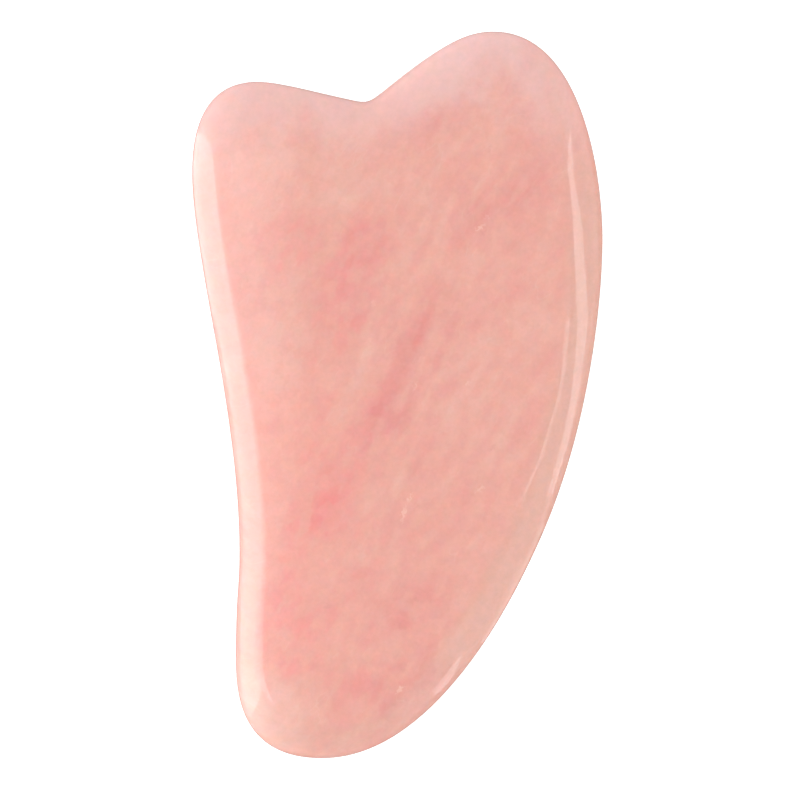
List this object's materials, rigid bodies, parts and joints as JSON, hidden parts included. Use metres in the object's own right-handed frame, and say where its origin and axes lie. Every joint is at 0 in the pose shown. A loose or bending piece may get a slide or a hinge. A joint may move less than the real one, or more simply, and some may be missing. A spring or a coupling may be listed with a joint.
{
  "type": "gua sha scraper",
  "caption": "Flat polished stone massage scraper with a notched two-lobed end, a hollowed blunt edge, a long bowed thin edge and a rounded tip.",
  "frame": {"origin": "on the back face, at the centre of the outline's bounding box", "axes": "+Z through the thickness, from the back face to the front face; +Y from the rounded tip to the notched end; +X from the hollowed edge to the long bowed edge"},
  "size_m": [0.0565, 0.1, 0.0065],
  "materials": {
    "rose_quartz": "polished, slightly translucent, cloudy pink with faint diagonal veils"
  },
  "bodies": {
    "root": {"scraper_stone": "rose_quartz"}
  },
  "joints": []
}
